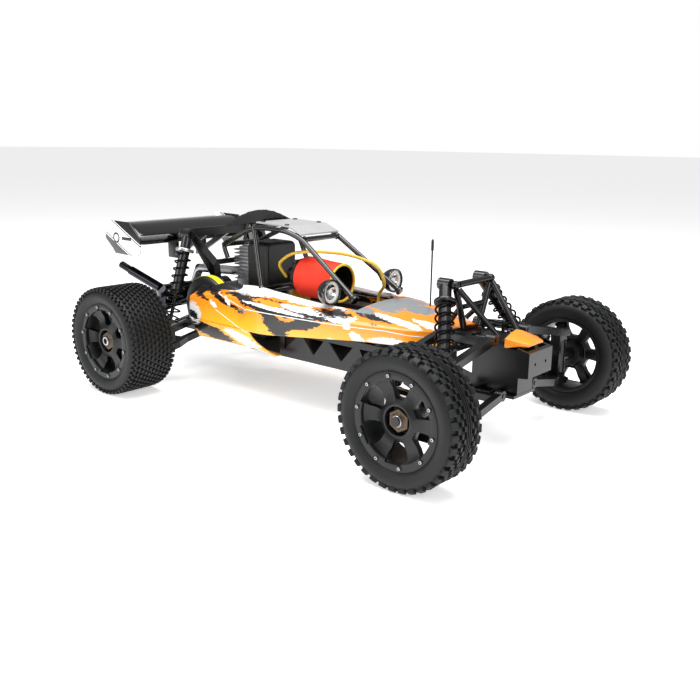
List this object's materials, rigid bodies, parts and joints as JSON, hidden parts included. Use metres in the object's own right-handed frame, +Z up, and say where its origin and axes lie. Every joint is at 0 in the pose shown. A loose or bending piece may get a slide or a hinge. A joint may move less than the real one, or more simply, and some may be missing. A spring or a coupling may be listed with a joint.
{
  "type": "rc buggy",
  "caption": "Radio-controlled off-road buggy with petrol engine, roll cage, rear wing and sprung double-wishbone wheels.",
  "frame": {"origin": "on the ground, under the middle of the whole length and width", "axes": "+X towards the nose, +Y to the driver's left, +Z up"},
  "size_m": [0.802, 0.48, 0.2822],
  "materials": {
    "tyre_rubber": "matt moulded rubber",
    "rim_nylon": "satin black moulded nylon",
    "frame_nylon": "satin black moulded nylon",
    "black_metal": "gloss black",
    "steel": "ground steel",
    "alloy": "cast alloy",
    "body_skin": "gloss, orange with black and white graphics",
    "roof_plastic": "satin grey",
    "cover_cloth": "black woven mesh cloth",
    "red_plastic": "satin red",
    "hose_rubber": "clear amber yellow",
    "wing_plastic": "semi-gloss black with white end plates",
    "lamp_plastic": "black housing, silvered reflector",
    "exhaust_steel": "black chrome"
  },
  "bodies": {
    "frame": {"chassis": "frame_nylon", "front_bulkhead": "frame_nylon", "front_bumper": "frame_nylon", "radio_box": "frame_nylon", "gearbox_housing": "frame_nylon", "rear_tower": "frame_nylon", "roll_cage": "black_metal", "roof_panel": "roof_plastic", "dust_cover": "cover_cloth", "body_shell": "body_skin", "rear_wing": "wing_plastic", "engine_block": "alloy", "engine_shroud": "frame_nylon", "exhaust_pipe": "exhaust_steel", "fuel_tank": "frame_nylon", "air_filter": "red_plastic", "gear_cover": "frame_nylon", "headlights": "lamp_plastic", "antenna": "frame_nylon", "fuel_hose": "hose_rubber"},
    "steering_link": {"steering_link": "frame_nylon"},
    "spur_gear": {"spur_gear": "steel"},
    "front_left_arm": {"front_left_lower_arm": "frame_nylon"},
    "front_left_upper": {"front_left_upper_arm": "frame_nylon"},
    "front_left_carrier": {"front_left_hub_carrier": "frame_nylon"},
    "front_left_shock": {"front_left_shock_body": "black_metal", "front_left_spring": "black_metal"},
    "front_left_plunger": {"front_left_shock_rod": "steel"},
    "front_left_wheel": {"front_left_tyre": "tyre_rubber", "front_left_rim": "rim_nylon"},
    "front_left_knuckle": {"front_left_knuckle": "frame_nylon"},
    "front_left_tie_rod": {"front_left_tie_rod": "steel"},
    "rear_left_arm": {"rear_left_lower_arm": "frame_nylon"},
    "rear_left_upper": {"rear_left_upper_link": "steel"},
    "rear_left_carrier": {"rear_left_hub_carrier": "frame_nylon"},
    "rear_left_shock": {"rear_left_shock_body": "black_metal", "rear_left_spring": "black_metal"},
    "rear_left_plunger": {"rear_left_shock_rod": "steel"},
    "rear_left_wheel": {"rear_left_tyre": "tyre_rubber", "rear_left_rim": "rim_nylon"},
    "rear_left_driveshaft": {"rear_left_driveshaft": "steel"},
    "front_right_arm": {"front_right_lower_arm": "frame_nylon"},
    "front_right_upper": {"front_right_upper_arm": "frame_nylon"},
    "front_right_carrier": {"front_right_hub_carrier": "frame_nylon"},
    "front_right_shock": {"front_right_shock_body": "black_metal", "front_right_spring": "black_metal"},
    "front_right_plunger": {"front_right_shock_rod": "steel"},
    "front_right_wheel": {"front_right_tyre": "tyre_rubber", "front_right_rim": "rim_nylon"},
    "front_right_knuckle": {"front_right_knuckle": "frame_nylon"},
    "front_right_tie_rod": {"front_right_tie_rod": "steel"},
    "rear_right_arm": {"rear_right_lower_arm": "frame_nylon"},
    "rear_right_upper": {"rear_right_upper_link": "steel"},
    "rear_right_carrier": {"rear_right_hub_carrier": "frame_nylon"},
    "rear_right_shock": {"rear_right_shock_body": "black_metal", "rear_right_spring": "black_metal"},
    "rear_right_plunger": {"rear_right_shock_rod": "steel"},
    "rear_right_wheel": {"rear_right_tyre": "tyre_rubber", "rear_right_rim": "rim_nylon"},
    "rear_right_driveshaft": {"rear_right_driveshaft": "steel"}
  },
  "joints": [
    {"name": "steering", "type": "slide", "parent": "frame", "child": "steering_link", "axis": [0, 1, 0], "range_m": [-0.016, 0.016]},
    {"name": "spur_spin", "type": "hinge", "parent": "frame", "child": "spur_gear", "pos_m": [-0.189, 0, 0.128], "axis": [0, 1, 0], "continuous": true},
    {"name": "front_left_suspension", "type": "hinge", "parent": "frame", "child": "front_left_arm", "pos_m": [0.316, 0.042, 0.078], "axis": [1, 0, 0], "range_deg": [-9, 12], "stiffness_Nm_per_rad": 25, "springref_deg": -5.96},
    {"name": "front_left_upper_pivot", "type": "hinge", "parent": "frame", "child": "front_left_upper", "pos_m": [0.316, 0.042, 0.15], "axis": [1, 0, 0], "range_deg": [-9.18, 12.24]},
    {"name": "front_left_carrier_pivot", "type": "hinge", "parent": "front_left_arm", "child": "front_left_carrier", "pos_m": [0.316, 0.172, 0.052], "axis": [1, 0, 0], "range_deg": [-12.24, 9.18]},
    {"name": "front_left_shock_pivot", "type": "hinge", "parent": "frame", "child": "front_left_shock", "pos_m": [0.251, 0.044, 0.2135], "axis": [0.7959, -0.6045, -0.0346], "range_deg": [-2.75, 3.67]},
    {"name": "front_left_shock_slide", "type": "slide", "parent": "front_left_shock", "child": "front_left_plunger", "axis": [-0.3451, -0.4998, 0.7944], "range_m": [-0.01124, 0.01498], "deforming": ["front_left_spring"]},
    {"name": "front_left_kingpin", "type": "hinge", "parent": "front_left_carrier", "child": "front_left_knuckle", "pos_m": [0.316, 0.172, 0.085], "axis": [0, 0, 1], "range_deg": [-19.48, 19.48]},
    {"name": "front_left_tie_rod_pivot", "type": "hinge", "parent": "steering_link", "child": "front_left_tie_rod", "pos_m": [0.268, 0.035, 0.134], "axis": [1, 0, 0], "range_deg": [-9.18, 12.24]},
    {"name": "front_left_wheel_spin", "type": "hinge", "parent": "front_left_knuckle", "child": "front_left_wheel", "pos_m": [0.316, 0.21, 0.085], "axis": [0, 1, 0], "continuous": true},
    {"name": "rear_left_suspension", "type": "hinge", "parent": "frame", "child": "rear_left_arm", "pos_m": [-0.254, 0.034, 0.082], "axis": [1, 0, 0], "range_deg": [-9, 12], "stiffness_Nm_per_rad": 25, "springref_deg": -5.96},
    {"name": "rear_left_upper_pivot", "type": "hinge", "parent": "frame", "child": "rear_left_upper", "pos_m": [-0.254, 0.034, 0.136], "axis": [1, 0, 0], "range_deg": [-9.18, 12.24]},
    {"name": "rear_left_carrier_pivot", "type": "hinge", "parent": "rear_left_arm", "child": "rear_left_carrier", "pos_m": [-0.254, 0.146, 0.06], "axis": [1, 0, 0], "range_deg": [-12.24, 9.18]},
    {"name": "rear_left_shock_pivot", "type": "hinge", "parent": "frame", "child": "rear_left_shock", "pos_m": [-0.231, 0.08, 0.243], "axis": [1, 0, 0], "range_deg": [-1.12, 1.49]},
    {"name": "rear_left_shock_slide", "type": "slide", "parent": "rear_left_shock", "child": "rear_left_plunger", "axis": [0, -0.2958, 0.9552], "range_m": [-0.01475, 0.01966], "deforming": ["rear_left_spring"]},
    {"name": "rear_left_wheel_spin", "type": "hinge", "parent": "rear_left_carrier", "child": "rear_left_wheel", "pos_m": [-0.254, 0.2, 0.085], "axis": [0, 1, 0], "continuous": true},
    {"name": "rear_left_drive_spin", "type": "hinge", "parent": "rear_left_arm", "child": "rear_left_driveshaft", "pos_m": [-0.254, 0.146, 0.085], "axis": [0, 0.9812, -0.1927], "continuous": true},
    {"name": "front_right_suspension", "type": "hinge", "parent": "frame", "child": "front_right_arm", "pos_m": [0.316, -0.042, 0.078], "axis": [-1, 0, 0], "range_deg": [-9, 12], "stiffness_Nm_per_rad": 25, "springref_deg": -5.96},
    {"name": "front_right_upper_pivot", "type": "hinge", "parent": "frame", "child": "front_right_upper", "pos_m": [0.316, -0.042, 0.15], "axis": [-1, 0, 0], "range_deg": [-9.18, 12.24]},
    {"name": "front_right_carrier_pivot", "type": "hinge", "parent": "front_right_arm", "child": "front_right_carrier", "pos_m": [0.316, -0.172, 0.052], "axis": [-1, 0, 0], "range_deg": [-12.24, 9.18]},
    {"name": "front_right_shock_pivot", "type": "hinge", "parent": "frame", "child": "front_right_shock", "pos_m": [0.251, -0.044, 0.2135], "axis": [-0.7959, -0.6045, 0.0346], "range_deg": [-2.75, 3.67]},
    {"name": "front_right_shock_slide", "type": "slide", "parent": "front_right_shock", "child": "front_right_plunger", "axis": [-0.3451, 0.4998, 0.7944], "range_m": [-0.01124, 0.01498], "deforming": ["front_right_spring"]},
    {"name": "front_right_kingpin", "type": "hinge", "parent": "front_right_carrier", "child": "front_right_knuckle", "pos_m": [0.316, -0.172, 0.085], "axis": [0, 0, 1], "range_deg": [-19.48, 19.48]},
    {"name": "front_right_tie_rod_pivot", "type": "hinge", "parent": "steering_link", "child": "front_right_tie_rod", "pos_m": [0.268, -0.035, 0.134], "axis": [-1, 0, 0], "range_deg": [-9.18, 12.24]},
    {"name": "front_right_wheel_spin", "type": "hinge", "parent": "front_right_knuckle", "child": "front_right_wheel", "pos_m": [0.316, -0.21, 0.085], "axis": [0, 1, 0], "continuous": true},
    {"name": "rear_right_suspension", "type": "hinge", "parent": "frame", "child": "rear_right_arm", "pos_m": [-0.254, -0.034, 0.082], "axis": [-1, 0, 0], "range_deg": [-9, 12], "stiffness_Nm_per_rad": 25, "springref_deg": -5.96},
    {"name": "rear_right_upper_pivot", "type": "hinge", "parent": "frame", "child": "rear_right_upper", "pos_m": [-0.254, -0.034, 0.136], "axis": [-1, 0, 0], "range_deg": [-9.18, 12.24]},
    {"name": "rear_right_carrier_pivot", "type": "hinge", "parent": "rear_right_arm", "child": "rear_right_carrier", "pos_m": [-0.254, -0.146, 0.06], "axis": [-1, 0, 0], "range_deg": [-12.24, 9.18]},
    {"name": "rear_right_shock_pivot", "type": "hinge", "parent": "frame", "child": "rear_right_shock", "pos_m": [-0.231, -0.08, 0.243], "axis": [-1, 0, 0], "range_deg": [-1.12, 1.49]},
    {"name": "rear_right_shock_slide", "type": "slide", "parent": "rear_right_shock", "child": "rear_right_plunger", "axis": [0, 0.2958, 0.9552], "range_m": [-0.01475, 0.01966], "deforming": ["rear_right_spring"]},
    {"name": "rear_right_wheel_spin", "type": "hinge", "parent": "rear_right_carrier", "child": "rear_right_wheel", "pos_m": [-0.254, -0.2, 0.085], "axis": [0, 1, 0], "continuous": true},
    {"name": "rear_right_drive_spin", "type": "hinge", "parent": "rear_right_arm", "child": "rear_right_driveshaft", "pos_m": [-0.254, -0.146, 0.085], "axis": [0, 0.9812, 0.1927], "continuous": true}
  ],
  "couplings": [
    {"joint": "front_left_upper_pivot", "follows": "front_left_suspension", "ratio": 1},
    {"joint": "front_left_carrier_pivot", "follows": "front_left_suspension", "ratio": -1},
    {"joint": "front_left_shock_pivot", "follows": "front_left_suspension", "ratio": 0.29979},
    {"joint": "front_left_shock_slide", "follows": "front_left_suspension", "m_per_rad": 0.070145},
    {"joint": "front_left_kingpin", "follows": "steering", "rad_per_m": -20.833},
    {"joint": "front_left_tie_rod_pivot", "follows": "front_left_suspension", "ratio": 1},
    {"joint": "rear_left_upper_pivot", "follows": "rear_left_suspension", "ratio": 1},
    {"joint": "rear_left_carrier_pivot", "follows": "rear_left_suspension", "ratio": -1},
    {"joint": "rear_left_shock_pivot", "follows": "rear_left_suspension", "ratio": 0.12189},
    {"joint": "rear_left_shock_slide", "follows": "rear_left_suspension", "m_per_rad": 0.092042},
    {"joint": "rear_left_drive_spin", "follows": "rear_left_wheel_spin", "ratio": 1},
    {"joint": "front_right_upper_pivot", "follows": "front_right_suspension", "ratio": 1},
    {"joint": "front_right_carrier_pivot", "follows": "front_right_suspension", "ratio": -1},
    {"joint": "front_right_shock_pivot", "follows": "front_right_suspension", "ratio": 0.29979},
    {"joint": "front_right_shock_slide", "follows": "front_right_suspension", "m_per_rad": 0.070145},
    {"joint": "front_right_kingpin", "follows": "steering", "rad_per_m": -20.833},
    {"joint": "front_right_tie_rod_pivot", "follows": "front_right_suspension", "ratio": 1},
    {"joint": "rear_right_upper_pivot", "follows": "rear_right_suspension", "ratio": 1},
    {"joint": "rear_right_carrier_pivot", "follows": "rear_right_suspension", "ratio": -1},
    {"joint": "rear_right_shock_pivot", "follows": "rear_right_suspension", "ratio": 0.12189},
    {"joint": "rear_right_shock_slide", "follows": "rear_right_suspension", "m_per_rad": 0.092042},
    {"joint": "rear_right_drive_spin", "follows": "rear_right_wheel_spin", "ratio": 1}
  ]
}
